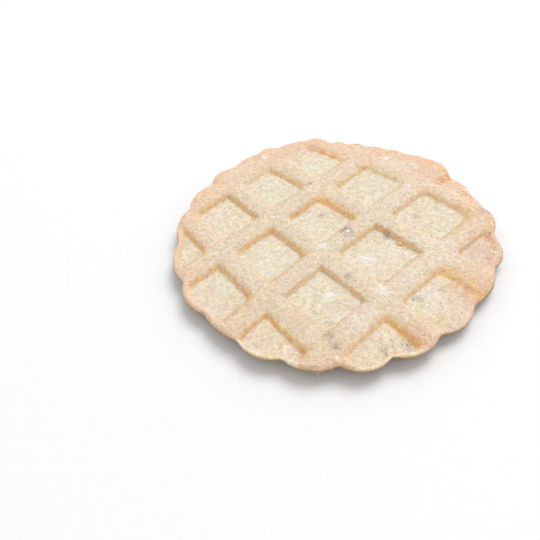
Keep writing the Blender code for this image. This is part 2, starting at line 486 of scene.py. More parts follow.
def topSurface(x, y):
    # height of the top and the masks that its finish needs, at points seen from the rib crossing
    flat = onPlane(x, y)
    angle, distance = aroundCentre(x, y)
    slope = aroundOutline(innerSlopes, angle)
    inset = (aroundOutline(innerRadii, angle) - distance) / np.sqrt(1.0 + slope ** 2)
    column, row, past = cellsAt(*latticePlace(x, y))
    here = {key: pitTable(key)[column, row] for key in ("depth", "growU", "growV", "rim", "lip")}

    # how far into the run of each wall, and of the slope to the rim
    into, brownAndShadeBySide = {}, {}
    for side in pitSides:
        run, setBack, brownAndShadeBySide[side] = (pitTable(side, part)[column, row] for part in range(3))
        into[side] = (past[side] - lattice["ribWidth"] / 2.0 + setBack) / run
    into["rim"] = (inset - here["lip"]) / here["rim"]
    brownAndShadeBySide["rim"] = np.zeros(len(x))
    inner = pitPlace(into)
    sunk = np.interp(inner, *zip(*wallShape))
    brown, nearWall = wallLooks(into, brownAndShadeBySide, inner)

    depth, groove = pitDepth(flat, here, past), grooveDepth(x, y)
    level = ribLevel(flat, angle, inset, aroundOutline(outlineSwell, angle), past)
    height = level - depth * sunk - poreDepth(x, y) - groove
    masks = {"sunk": sunk, "depth": depth, "inset": inset, "angle": angle, "brown": brown,
             "nearWall": nearWall, "groove": groove, "lip": lipHighlight(into, here["rim"])}
    return height, masks


body = {
    "fineStep": 0.12,                # across a wall
    "plainStep": 0.34,               # on floors and ribs
    "wallStart": 0.75,               # share of a wall's run outside its middle that has fine steps
    "wallEnd": 0.50,                 # and inside
    "wallZone": 5.0,                 # from a rib's centre line, where lines keep their distance to it
    "bendRounds": 4,                 # how often points are moved to follow the bends of the ribs
    "wanderRounds": 3,
    "gridExtra": 2.0,                # past the mean radius
    "edgeMargin": 0.16,
    "mergeDistance": 1e-7,
    "footUnderShare": 0.7,           # how far the lowest ring looks like the underside
}


def gapLines(nearWall, farWall):
    # places across one gap between two ribs, closer together on its two walls
    pitch, half = lattice["pitch"], lattice["ribWidth"] / 2.0
    ends = []
    for run, setBack, _ in (nearWall, farWall):
        middle = half - setBack
        ends.append((middle - body["wallStart"] * run, middle + body["wallEnd"] * run))
    (nearStart, nearEnd), (farStart, farEnd) = ends
    stops = [0.0, nearStart, nearEnd, pitch - farEnd, pitch - farStart, pitch]
    steps = [body["plainStep"], body["fineStep"]] * 2 + [body["plainStep"]]
    stretches = []
    for start, end, step in zip(stops, stops[1:], steps):
        count = max(1, round((end - start) / step))
        stretches.append(np.linspace(start, end, count, endpoint=False))
    return np.concatenate(stretches)


def acrossGap(low, high, place):
    # a place in an even gap, moved into a real one without a change in its distance to the nearer rib
    pitch, zone = lattice["pitch"], body["wallZone"]
    blend = np.clip((place - zone) / (pitch - 2.0 * zone), 0.0, 1.0)
    return (low + place) * (1.0 - blend) + (high - pitch + place) * blend


def latticeGrid():
    # points on lines that follow the ribs and their walls, so that no wall is stepped
    rising, falling = lattice["risingRibs"], lattice["fallingRibs"]
    cells = []
    for column, row in product(range(len(falling) - 1), range(len(rising) - 1)):
        pit = pitAt(column, row)
        uLines, vLines = gapLines(pit["front"], pit["back"]), gapLines(pit["left"], pit["right"])
        uPlace, vPlace = (places.ravel() for places in np.meshgrid(uLines, vLines))
        u, v = falling[column][0] + uPlace, rising[row][0] + vPlace
        for _ in range(body["bendRounds"]):
            uNext = acrossGap(ribLine(falling[column], v), ribLine(falling[column + 1], v), uPlace)
            v = acrossGap(ribLine(rising[row], u), ribLine(rising[row + 1], u), vPlace)
            u = uNext
        cells.append(np.c_[u, v])
    u, v = np.concatenate(cells).T
    x, y = (u + v) / rootTwo, (u - v) / rootTwo
    near = aroundCentre(x, y)[1] < edge["meanRadius"] + body["gridExtra"]
    u, v, x, y = u[near], v[near], x[near], y[near]
    for _ in range(body["wanderRounds"]):
        uNow, vNow = latticePlace(x, y)
        x, y = x + (u - uNow + v - vNow) / rootTwo, y + (u - uNow - v + vNow) / rootTwo
    return x, y


def ringLimit(ring, angles):
    # how far out a closed ring of points lies at other angles
    ringAngle, ringDistance = aroundCentre(ring[:, 0], ring[:, 1])
    order = np.argsort(ringAngle)
    return np.interp(angles, ringAngle[order], ringDistance[order], period=360.0)


onlyInside = 1                       # the kind of triangulation that stops at the ring


def triangulated(ring, inside):
    # triangles over the ring's inside, with its own points first
    points = np.r_[ring, inside]
    sides = [(i, (i + 1) % len(ring)) for i in range(len(ring))]
    flatPoints = [Vector(point) for point in points.tolist()]
    _, _, made, sources, _, _ = geometry.delaunay_2d_cdt(
        flatPoints, sides, [], onlyInside, body["mergeDistance"], True,
    )
    origins = np.array([source[0] for source in sources])
    faces = origins[np.array(made)]
    middle = points[faces].mean(axis=1)
    angle, distance = aroundCentre(middle[:, 0], middle[:, 1])
    return points, faces[distance < ringLimit(ring, angle)]      # none across a notch


def edgeRing(angles, inset, share=1.0):
    radius = aroundOutline(outlineRadii, angles)
    return fromCentre(angles, edge["meanRadius"] + (radius - edge["meanRadius"]) * share - inset)


def wallInset(height, widest, undercut):
    # how far the wall is drawn in at a height, down to its rounded foot
    drop = np.clip(1.0 - height / widest, 0.0, 1.0)
    inset = undercut * drop ** edge["undercutCurve"]
    foot = edge["footRadius"]
    low = np.clip(1.0 - height / foot, 0.0, 1.0)
    return inset + foot * (1.0 - np.sqrt(1.0 - low ** 2)), drop


def buildTop(angles):
    # the ring of the crown's start first, then the grid inside it
    ringX, ringY = edgeRing(angles, crownReach(angles))
    gridX, gridY = latticeGrid()
    gridAngle, gridDistance = aroundCentre(gridX, gridY)
    reach = aroundOutline(outlineRadii, gridAngle) - crownReach(gridAngle) - body["edgeMargin"]
    keep = gridDistance < reach
    points, faces = triangulated(np.c_[ringX, ringY], np.c_[gridX[keep], gridY[keep]])
    height, masks = topSurface(points[:, 0], points[:, 1])
    top = np.c_[points, height]
    top[:, 2] += fineRelief(top)
    return top, faces, masks


streakStretch = (1.0, 1.0, 0.12)     # streaks on the side run up and down


def buildSideRings(angles):
    # crown and wall: rings below one another, with how far each still belongs to the top
    radians = np.radians(angles)
    rings, masks = [], []
    _, widest, undercut = edgeShapeAt(angles)
    reach = crownReach(angles)
    for step in range(1, edge["crownRings"] + 1):
        turn = math.radians(90.0 * step / edge["crownRings"])
        x, y = edgeRing(angles, reach * (1.0 - math.sin(turn)))
        height, ringMasks = topSurface(x, y)
        share = math.cos(turn)
        z = widest + (height - widest) * share
        rings.append((np.c_[x, y, z], share))
        masks.append(ringMasks)
    for step in range(1, edge["wallRings"] + 1):
        height = widest * (1.0 - (step / edge["wallRings"]) ** edge["wallSpacing"])
        inset, drop = wallInset(height, widest, undercut)
        x, y = edgeRing(angles, inset, 1.0 - (1.0 - edge["undersideScallopShare"]) * drop)
        rings.append((np.c_[x, y, height], 0.0))
        masks.append(topSurface(x, y)[1])
    outward = onPlane(np.cos(radians), np.sin(radians))
    shaped = []
    for index, (points, share) in enumerate(rings):
        lowest = index == len(rings) - 1
        lump = uneven(points, "lumps") * (1.0 - share)
        streak = uneven(points * streakStretch, "streaks") * (1.0 - share)
        fine = fineRelief(points)
        moved = points + (fine * (1.0 - share) + lump + streak)[:, None] * outward
        moved[:, 2] += 0.0 if lowest else fine * share
        shaped.append(moved)
    return shaped, [share for _, share in rings], masks


underside = {
    "seed": 71,
    "step": 0.52,
    "jitter": 0.12,
    "edgeMargin": 0.25,
    "hollowDepth": 0.11,
    "hollowFrom": -0.05,             # the noise above this makes hollows, and dents in the same way
    "dentDepth": 0.16,
    "dentFrom": 0.45,
    "flatBand": 0.8,                 # hollows fade out this far from the edge
    "edgeLift": 0.10,
    "edgeLiftReach": 1.2,
}


def buildUnderside(ring):
    # flat where it rests, with shallow hollows and a lifted edge; the ring's points come first
    span = np.arange(-edge["meanRadius"], edge["meanRadius"], underside["step"])
    gridX, gridY = np.meshgrid(span, span)
    rng, jitter = np.random.default_rng(underside["seed"]), underside["jitter"]
    gridX = gridX.ravel() + edge["centre"][0] + rng.uniform(-jitter, jitter, gridX.size)
    gridY = gridY.ravel() + edge["centre"][1] + rng.uniform(-jitter, jitter, gridY.size)
    gridAngle, gridDistance = aroundCentre(gridX, gridY)
    inset = ringLimit(ring, gridAngle) - gridDistance
    keep = inset > underside["edgeMargin"]
    points, faces = triangulated(ring[:, :2], np.c_[gridX[keep], gridY[keep]])
    low = onPlane(points[:, 0], points[:, 1])
    fromEdge = np.r_[np.zeros(len(ring)), inset[keep]]
    hollow = np.clip(uneven(low, "hollows") - underside["hollowFrom"], 0.0, 1.0)
    dent = np.clip(uneven(low, "dents") - underside["dentFrom"], 0.0, 1.0)
    sunk = underside["hollowDepth"] * hollow + underside["dentDepth"] * dent
    low[:, 2] = sunk * smoothStep(0.0, underside["flatBand"], fromEdge)
    low[:, 2] += underside["edgeLift"] * np.exp(-fromEdge / underside["edgeLiftReach"])
    angle = np.r_[aroundCentre(ring[:, 0], ring[:, 1])[0], gridAngle[keep]]
    return low, faces, fromEdge, angle


def buildBodyMesh():
    count = int(2.0 * math.pi * edge["meanRadius"] / edge["step"])
    angles = np.arange(count) * 360.0 / count - 180.0
    top, topFaces, topMasks = buildTop(angles)
    print("Top of", len(top), "points")
    rings, ringShares, ringMasks = buildSideRings(angles)
    low, lowFaces, fromEdge, lowAngle = buildUnderside(rings[-1])
    rings[-1][:, 2] = low[:count, 2]

    # one closed mesh: the top, the rings, the underside
    vertices = [top, *rings, low[count:]]
    starts = np.cumsum([0] + [len(part) for part in vertices])
    faces = [tuple(face) for face in topFaces.tolist()]
    ringStarts = [0, *starts[1:1 + len(rings)].tolist()]
    for upper, lower in zip(ringStarts, ringStarts[1:]):
        for i in range(count):
            after = (i + 1) % count
            faces.append((upper + i, lower + i, lower + after, upper + after))
    lowStart = starts[1 + len(rings)]
    lowIndex = np.r_[np.arange(count) + ringStarts[-1], np.arange(len(low) - count) + lowStart]
    faces += [tuple(reversed(face)) for face in lowIndex[lowFaces].tolist()]

    lowCount = len(low) - count
    masks = {}
    for key in topMasks:
        parts = [topMasks[key], *[ring[key] for ring in ringMasks]]
        masks[key] = np.concatenate([*parts, np.zeros(lowCount)])
    masks["inset"][-lowCount:] = fromEdge[count:]
    masks["angle"][-lowCount:] = lowAngle[count:]
    sides = [np.full(count, 1.0 - share) for share in ringShares]
    masks["side"] = np.concatenate([np.zeros(len(top)), *sides, np.ones(lowCount)])
    masks["under"] = np.concatenate([np.zeros(starts[-2]), np.ones(lowCount)])
    masks["under"][ringStarts[-1]:ringStarts[-1] + count] = body["footUnderShare"]
    masks["height"] = np.concatenate([part[:, 2] for part in vertices])
    triangles = len(topFaces) + len(lowFaces) + 2 * count * len(rings)
    print("Body of", starts[-1], "points and", triangles, "triangles")
    return np.concatenate(vertices), faces, masks


def newMesh(name, points, faces, material, smooth=True):
    mesh = bpy.data.meshes.new(name)
    mesh.from_pydata(points.tolist(), [], faces)
    mesh.validate()
    if smooth:
        mesh.shade_smooth()
    mesh.materials.append(material)
    thing = bpy.data.objects.new(name, mesh)
    bpy.context.scene.collection.objects.link(thing)
    return thing


def addMask(thing, name, values):
    attribute = thing.data.attributes.new(name, "FLOAT", "POINT")
    attribute.data.foreach_set("value", np.asarray(values, dtype=np.float32))


def fill(tree, socket, value):
    # link a socket to another one, or set it to a plain value
    if isinstance(value, bpy.types.NodeSocket):
        tree.links.new(value, socket)
    else:
        socket.default_value = value


def newNode(tree, kind, inputs=None, **settings):
    node = tree.nodes.new(kind)
    for key, value in settings.items():
        setattr(node, key, value)
    for key, value in (inputs or {}).items():
        fill(tree, node.inputs[key], value)
    return node


def calc(tree, operation, first, second):
    return newNode(tree, "ShaderNodeMath", {0: first, 1: second}, operation=operation).outputs[0]


def mixColour(tree, factor, first, second, blend="MIX"):
    # the two colours of a Mix node are its sockets 6 and 7, and its colour comes out of the third
    node = newNode(tree, "ShaderNodeMix", {"Factor": factor}, data_type="RGBA", blend_type=blend)
    fill(tree, node.inputs[6], first)
    fill(tree, node.inputs[7], second)
    return node.outputs[2]


def remap(tree, value, fromLow, fromHigh, toLow=0.0, toHigh=1.0, smooth=True):
    node = newNode(tree, "ShaderNodeMapRange", {
        "Value": value, "From Min": fromLow, "From Max": fromHigh, "To Min": toLow, "To Max": toHigh,
    })
    node.interpolation_type = "SMOOTHSTEP" if smooth else "LINEAR"
    return node.outputs["Result"]


def newGroup(name, inputs, outputs):
    group = bpy.data.node_groups.new(name, "ShaderNodeTree")
    for socketName, kind, value in inputs:
        socket = group.interface.new_socket(socketName, in_out="INPUT", socket_type=kind)
        if value is not None:
            socket.default_value = value
    for socketName, kind in outputs:
        group.interface.new_socket(socketName, in_out="OUTPUT", socket_type=kind)
    return group, group.nodes.new("NodeGroupInput"), group.nodes.new("NodeGroupOutput")


sandyGrain = {
    "coarseScale": 0.30,             # against the fine grain's
    "crumbScale": 0.8,
    "fineShare": 0.55,
    "coarseShare": 0.45,
    "crumbDepth": 0.35,
    "speckRagged": 0.22,
    "speckEdge": (0.30, 0.19),       # where a speck starts and is full
}


def sandyGrainGroup():
    # the fine sandy crumb of short dough: a value round 0.5, a height and sparse dark specks
    group, given, out = newGroup(
        "sandyGrain",
        [("Place", "NodeSocketVector", None), ("Grain Size", "NodeSocketFloat", 0.3),
         ("Speck Size", "NodeSocketFloat", 1.1), ("Speck Share", "NodeSocketFloat", 0.12)],
        [("Grain", "NodeSocketFloat"), ("Height", "NodeSocketFloat"), ("Specks", "NodeSocketFloat")],
    )
    place = given.outputs["Place"]
    perMetre = calc(group, "DIVIDE", 1.0 / mm, given.outputs["Grain Size"])
    fine = newNode(group, "ShaderNodeTexNoise", {
        "Vector": place, "Scale": perMetre, "Detail": 2.0, "Roughness": 0.6,
    }).outputs["Fac"]
    coarse = newNode(group, "ShaderNodeTexNoise", {
        "Vector": place, "Scale": calc(group, "MULTIPLY", perMetre, sandyGrain["coarseScale"]),
        "Detail": 3.0, "Roughness": 0.6,
    }).outputs["Fac"]
    crumb = newNode(group, "ShaderNodeTexVoronoi", {
        "Vector": place, "Scale": calc(group, "MULTIPLY", perMetre, sandyGrain["crumbScale"]),
        "Randomness": 1.0,
    }, feature="F1").outputs["Distance"]
    finePart = calc(group, "MULTIPLY", fine, sandyGrain["fineShare"])
    coarsePart = calc(group, "MULTIPLY", coarse, sandyGrain["coarseShare"])
    grain = calc(group, "ADD", finePart, coarsePart)
    gaps = calc(group, "MULTIPLY", crumb, sandyGrain["crumbDepth"])
    height = calc(group, "SUBTRACT", grain, gaps)
    speckScale = calc(group, "DIVIDE", 1.0 / mm, given.outputs["Speck Size"])
    cells = newNode(group, "ShaderNodeTexVoronoi", {
        "Vector": place, "Scale": speckScale, "Randomness": 1.0,
    }, feature="F1")
    pick = newNode(group, "ShaderNodeSeparateColor", {"Color": cells.outputs["Color"]}).outputs["Red"]
    chosen = calc(group, "LESS_THAN", pick, given.outputs["Speck Share"])
    stray = calc(group, "MULTIPLY", fine, sandyGrain["speckRagged"])
    ragged = calc(group, "ADD", cells.outputs["Distance"], stray)
    speck = calc(group, "MULTIPLY", chosen, remap(group, ragged, *sandyGrain["speckEdge"]))
    group.links.new(grain, out.inputs["Grain"])
    group.links.new(height, out.inputs["Height"])
    group.links.new(speck, out.inputs["Specks"])
    return group


def mottleGroup():
    # a soft patchy mask with a named patch size and coverage; another shift gives other patches
    group, given, out = newGroup(
        "mottle",
        [("Place", "NodeSocketVector", None), ("Patch Size", "NodeSocketFloat", 6.0),
         ("Shift", "NodeSocketFloat", 0.0), ("From", "NodeSocketFloat", 0.42),
         ("To", "NodeSocketFloat", 0.62)],
        [("Mask", "NodeSocketFloat")],
    )
    moved = newNode(group, "ShaderNodeVectorMath", {
        0: given.outputs["Place"], 1: given.outputs["Shift"],
    }, operation="ADD").outputs[0]
    noise = newNode(group, "ShaderNodeTexNoise", {
        "Vector": moved, "Scale": calc(group, "DIVIDE", 1.0 / mm, given.outputs["Patch Size"]),
        "Detail": 4.0, "Roughness": 0.65,
    }).outputs["Fac"]
    mask = remap(group, noise, given.outputs["From"], given.outputs["To"])
    group.links.new(mask, out.inputs["Mask"])
    return group


groups = {"sandyGrain": sandyGrainGroup(), "mottle": mottleGroup()}


def placeGroup(tree, name, **inputs):
    node = tree.nodes.new("ShaderNodeGroup")
    node.node_tree = groups[name]
    for key, value in inputs.items():
        socketName = "".join(" " + letter if letter.isupper() else letter for letter in key)
        fill(tree, node.inputs[socketName[0].upper() + socketName[1:]], value)
    return node


def newMaterial(name, finish):
    material = bpy.data.materials.new(name)
    material.use_nodes = True
    tree = material.node_tree
    shader = tree.nodes["Principled BSDF"]
    shader.inputs["Roughness"].default_value = finish["roughness"]
    shader.inputs["Specular IOR Level"].default_value = finish["specular"]
    return material, tree, shader


def finishDough(tree, shader, base, height, finish):
    # colour, fine relief and the light that goes through, the same way for all that is baked
    tree.links.new(base, shader.inputs["Base Color"])
    bump = newNode(tree, "ShaderNodeBump", {
        "Strength": finish["bumpStrength"], "Distance": finish["bumpHeight"], "Height": height,
    })
    tree.links.new(bump.outputs["Normal"], shader.inputs["Normal"])
    shader.inputs["Subsurface Weight"].default_value = finish["glow"]
    shader.inputs["Subsurface Radius"].default_value = finish["glowColour"]
    shader.inputs["Subsurface Scale"].default_value = finish["glowReach"] * mm


crustFinish = {
    "floor": srgb(231, 221, 198),
    "rib": srgb(228, 210, 184),
    "pink": srgb(232, 205, 182),
    "butter": srgb(235, 218, 172),
    "peach": srgb(232, 204, 184),
    "milk": srgb(240, 232, 215),
    "rim": srgb(240, 198, 164),
    # the lip's colour is a painted highlight
    "lip": srgb(246, 233, 200),
    "toast": srgb(226, 168, 122),
    # pit walls: browning together with painted shade; walls that face away from the viewer get a greyer
    # painted shade
    "wall": srgb(255, 202, 127),
    "wallNear": srgb(216, 177, 128),
    # the side: browning of the cut edge deepened with painted shade, darkest low down under the edge
    "side": srgb(170, 134, 82),
    "sideLow": srgb(106, 76, 42),
    "under": srgb(216, 176, 124),
    "speck": srgb(150, 104, 78),
    "flour": srgb(250, 247, 240),
    "orange": srgb(222, 146, 92),
    "plum": srgb(172, 138, 136),
    "grainSize": 0.26,
    "grainContrast": 0.375,
    "yellowing": 0.06,               # how much the blue wanders
    "reddening": 0.016,              # how much the red and green do
    "mottles": [("pink", 9.0, 0.0, 0.20), ("butter", 3.1, 0.0, 0.16), ("pink", 1.5, 0.2, 0.10),
                ("milk", 0.8, 0.0, 0.12)],       # colour, patch size, shift and strength
    "toastPatchy": 0.6,              # strength of the toast and of the walls where they are palest
    "wallPatchy": 0.72,
    "wallPatches": (1.1, 0.4),       # size and shift
    "speckSize": 1.0,
    "speckShare": 0.07,
    "speckStrength": 0.28,
    "bumpStrength": 1.0,
    "bumpHeight": 0.00014,           # metres
    "glow": 0.45,
    "glowColour": (1.0, 0.6, 0.3),
    "glowReach": 0.8,
    "roughness": 0.82,
    "roughest": 0.92,                # in the hollows of the grain, and on its tops
    "smoothest": 0.70,
    "specular": 0.28,
}
grainSpan = (0.3, 0.7)               # the grain and the mottle seldom leave this range

# For each channel: its share of the grain's contrast, what drives its slow drift and how much, and
# the size and shift of the patches that it drifts in
channelDrift = {
    "Red": (0.67, "reddening", 1.0, 2.4, 0.31),
    "Green": (0.97, "reddening", -0.5, 2.4, 0.31),
    "Blue": (1.38, "yellowing", 1.0, 2.0, 0.57),
}


def grainyColour(tree, base, grain, place, finish):
    # the colour with its sandy grain, brown in the dark and white in the light, and a slow drift
    channels = {}
    for channel, (share, drive, strength, size, shift) in channelDrift.items():
        amount = strength * finish[drive]
        reach = finish["grainContrast"] * share
        light = remap(tree, grain, *grainSpan, 1.0 - reach, 1.0 + reach, smooth=False)
        patch = placeGroup(tree, "mottle", place=place, patchSize=size, shift=shift)
        patch.inputs["From"].default_value, patch.inputs["To"].default_value = grainSpan
        drift = remap(tree, patch.outputs["Mask"], 0.0, 1.0, 1.0 - amount, 1.0 + amount, smooth=False)
        channels[channel] = calc(tree, "MULTIPLY", light, drift)
    shade = newNode(tree, "ShaderNodeCombineColor", channels).outputs["Color"]
    return mixColour(tree, 1.0, base, shade, "MULTIPLY")


def crustMaterial():
    finish = crustFinish
    material, tree, shader = newMaterial("crust", finish)
    place = newNode(tree, "ShaderNodeTexCoord").outputs["Object"]

    def mask(name):
        return newNode(tree, "ShaderNodeAttribute", attribute_name=name).outputs["Fac"]

    def patchy(size, shift=0.0):
        return placeGroup(tree, "mottle", place=place, patchSize=size, shift=shift).outputs["Mask"]

    def painted(base, factor, tint):
        return mixColour(tree, factor, base, finish[tint])

    grain = placeGroup(tree, "sandyGrain", place=place, grainSize=finish["grainSize"],
                       speckSize=finish["speckSize"], speckShare=finish["speckShare"])
    base = mixColour(tree, mask("sunk"), finish["rib"], finish["floor"])
    for tint, size, shift, strength in finish["mottles"]:
        patches = patchy(size, shift)
        base = painted(base, calc(tree, "MULTIPLY", patches, strength), tint)
    # rim browning, the lip's painted highlight, and the side's browning deepened with painted shade
    for name in ("rim", "lip", "side", "sideLow"):
        base = painted(base, mask(name), name)
    toastPatches = remap(tree, patches, 0.0, 1.0, finish["toastPatchy"], 1.0)    # the last, finest ones
    base = painted(base, calc(tree, "MULTIPLY", mask("toast"), toastPatches), "toast")
    # pit walls: browning with painted shade, and a greyer painted shade on the walls that face away from
    # the viewer
    wallPatches = remap(tree, patchy(*finish["wallPatches"]), 0.0, 1.0, finish["wallPatchy"], 1.0)
    wallTint = mixColour(tree, mask("nearWall"), finish["wall"], finish["wallNear"])
    base = mixColour(tree, calc(tree, "MULTIPLY", mask("wall"), wallPatches), base, wallTint)
    base = painted(base, mask("under"), "under")
    # spots of colour on the top; the plum ones also hold some painted shade
    for spots, tint in (("pinkSpots", "peach"), ("butterSpots", "butter"), ("orangeSpots", "orange"),
                        ("plumStainsAndShade", "plum"), ("flourSpots", "flour")):
        base = painted(base, mask(spots), tint)
    specks = calc(tree, "MULTIPLY", grain.outputs["Specks"], finish["speckStrength"])
    base = painted(base, specks, "speck")
    base = grainyColour(tree, base, grain.outputs["Grain"], place, finish)
    finishDough(tree, shader, base, grain.outputs["Height"], finish)
    rough = remap(tree, grain.outputs["Grain"], *grainSpan, finish["roughest"], finish["smoothest"],
                  smooth=False)
    tree.links.new(rough, shader.inputs["Roughness"])
    return material


# Marks on the top, seen from the rib crossing: (x, y, radius, strength)
marks = {
    "pinkSpots": [(31.5, 0.5, 5.6, 0.60), (24.5, -10.0, 5.0, 0.40), (5.5, -12.0, 3.2, 0.30),
                  (12.0, -7.0, 3.0, 0.15)],
    "butterSpots": [(20.2, -15.7, 1.9, 0.40), (9.0, 6.8, 1.2, 0.5), (0.5, -6.5, 2.2, 0.4),
                    (11.5, 11.5, 1.6, 0.4), (-9.4, -19.5, 3.8, 0.38), (32.2, 18.9, 1.2, 0.6)],
    "orangeSpots": [(10.3, 28.9, 0.6, 0.45), (9.1, 28.6, 0.6, 0.35), (26.0, 22.4, 1.0, 0.35),
                    (29.2, 24.2, 1.2, 0.60), (27.5, 23.5, 1.1, 0.55), (22.4, 26.4, 3.4, 0.22),
                    (0.8, 35.9, 1.3, 0.40), (3.2, 34.0, 1.3, 0.35), (-1.6, 37.7, 1.3, 0.38),
                    (-9.0, -17.0, 1.2, 0.28), (24.4, -7.6, 1.5, 0.30), (-7.2, -19.5, 1.2, 0.30),
                    (-5.6, -21.8, 1.2, 0.32), (26.5, -12.2, 2.4, 0.20), (31.9, 18.2, 1.1, 0.60),
                    (8.2, 36.6, 0.6, 0.45), (4.6, 15.1, 0.6, 0.40), (33.4, 4.6, 1.0, 0.45),
                    (33.4, 1.8, 0.8, 0.30), (32.4, -1.0, 0.9, 0.30), (24.5, -9.9, 1.8, 0.10),
                    (15.8, -20.0, 1.2, 0.25), (22.5, 5.7, 0.6, 0.40), (14.4, -18.2, 2.4, 0.14),
                    (15.8, -18.9, 1.9, 0.22), (26.4, -9.5, 1.5, 0.42), (27.7, -11.1, 1.4, 0.38),
                    (20.6, -15.7, 1.8, 0.18), (-3.9, -22.4, 1.2, 0.28), (14.9, -11.5, 0.8, 0.25),
                    (-10.0, -19.0, 3.6, 0.10), (8.0, 36.6, 0.8, 0.4), (-4.0, -16.0, 5.0, 0.12),
                    (-14.0, -12.0, 5.0, 0.12)],
    # plum stains of anise; the last three spots are painted shade on a pit wall that faces away from the
    # light
    "plumStainsAndShade": [(17.2, -10.4, 1.3, 0.42), (4.9, 6.9, 1.8, 0.78), (0.3, -19.6, 1.2, 0.48),
                  (1.4, -21.5, 0.9, 0.42), (4.7, -5.9, 1.2, 0.34), (13.5, 6.6, 1.3, 0.34),
                  (22.0, -8.5, 1.0, 0.15), (34.6, 12.2, 1.9, 0.68), (31.0, 0.0, 6.0, 0.12),
                  (-2.5, 22.9, 0.9, 0.32), (0.4, 13.4, 1.0, 0.32), (20.4, 12.2, 1.1, 0.28),
                  (9.8, -21.5, 1.1, 0.36), (14.3, -20.9, 1.0, 0.40), (13.2, -20.0, 0.8, 0.30),
                  (4.6, 12.6, 2.2, 0.12), (35.4, 11.2, 0.9, 0.40), (-5.2, 13.4, 1.2, 0.20),
                  (-3.6, 15.0, 1.2, 0.22), (-1.9, 16.7, 1.2, 0.20)],
    "flourSpots": [(1.0, -6.5, 5.0, 0.10), (1.0, -9.4, 1.6, 0.55), (8.7, 0.1, 1.9, 0.52),
                   (10.8, -9.4, 1.5, 0.60), (-0.1, 2.3, 1.3, 0.42), (5.3, 6.6, 0.8, 0.40),
                   (-5.7, -24.3, 1.4, 0.40), (-12.9, -20.8, 1.0, 0.25), (-11.6, -22.0, 1.0, 0.25),
                   (15.5, 31.9, 1.0, 0.4), (-9.5, -19.0, 3.6, 0.16), (20.0, -9.8, 2.4, 0.20),
                   (-6.2, -21.6, 1.6, 0.30), (-13.3, 34.0, 1.1, 0.60), (16.3, 17.0, 2.2, 0.12),
                   (13.8, -8.2, 1.6, 0.20), (8.2, -13.8, 1.8, 0.18), (17.3, 6.0, 1.8, 0.16),
                   (28.3, 17.0, 1.8, 0.20), (5.8, 17.1, 1.8, 0.10), (-2.9, 25.4, 1.8, 0.14),
                   (34.2, 12.0, 1.8, 0.22), (15.0, 0.8, 2.4, 0.14), (23.0, -5.6, 1.4, 0.22),
                   (22.0, 1.0, 6.5, 0.17), (17.0, -5.5, 4.0, 0.18), (5.5, -16.0, 3.2, 0.22),
                   (21.0, 22.5, 4.0, 0.14), (-2.5, -19.5, 2.0, 0.14)],
}


spotShape = {
    "ragged": 0.55,                  # how far the outline strays, in radii
    "raggedCell": 0.9,
    "soft": (0.25, 1.25),            # radii between which a spot fades
    "seed": 421,
    "seedStep": 10,                  # from one kind of spot to the next
    "seedAcross": 5,                 # added for the stray along y
}


def spotMask(points, spots, seed):
    # soft ragged spots on the top
    cell = spotShape["raggedCell"]
    seeds = (seed, seed + spotShape["seedAcross"])
    stray = np.stack([layeredNoise(points, cell, each) for each in seeds], axis=1)
    warp = spotShape["ragged"] * stray
    full, gone = spotShape["soft"]
    total = np.zeros(len(points))
    for x, y, radius, strength in spots:
        away = np.hypot(points[:, 0] + warp[:, 0] * radius - x, points[:, 1] + warp[:, 1] * radius - y)
        total = np.maximum(total, strength * (1.0 - smoothStep(full * radius, gone * radius, away)))
    return total


# Browning of the bake, with the painted shade of the pit walls and the side and the painted highlight of
# the lip
browning = {
    "darkest": 58.0,                 # degrees round the outline, where the oven was hottest
    "heat": (0.63, 0.37),            # of the oven: at right angles to there, and what is added there
    "patchiness": 0.3,
    "rimReach": 5.0,
    "rimReachByHeat": (0.55, 0.9),   # share of that reach in the cold, and what heat adds
    "rimStrength": 0.85,
    "rimStrengthByHeat": (0.4, 0.6),
    "rimFalloff": 1.5,
    "rimPatchiness": 0.35,
    "pitPaler": 0.55,                # the rim's browning skips this share of a pit floor
    "backLip": 0.40,
    "backLipReach": 1.8,
    "grooveToast": 2.0,
    "toastMean": 0.7,
    "toastMost": 0.9,
    # the walls' brown is browning together with painted shade, and deeper pits get more of it
    "wallBrownAndShadeStrength": 0.95,
    "wallFullDepth": 0.8,            # shallower pits have paler walls
    "wallPatchiness": 0.20,
    "lipHighlightStrength": 0.75,
    "topEnds": (0.25, 0.9),          # between which shares of the side the top's looks fade
    "spotsEnd": (0.7, 1.0),
    # the side's browning is deepened with painted shade, most towards the foot
    "sideStarts": (0.35, 0.95),
    "lowStrength": 0.9,
    "lowFrom": 0.5,                  # share of the side above which the low band can't reach
    "lowHeights": (1.6, 3.4),        # the side is darkest below the first of these
    "underStrength": 0.75,
}


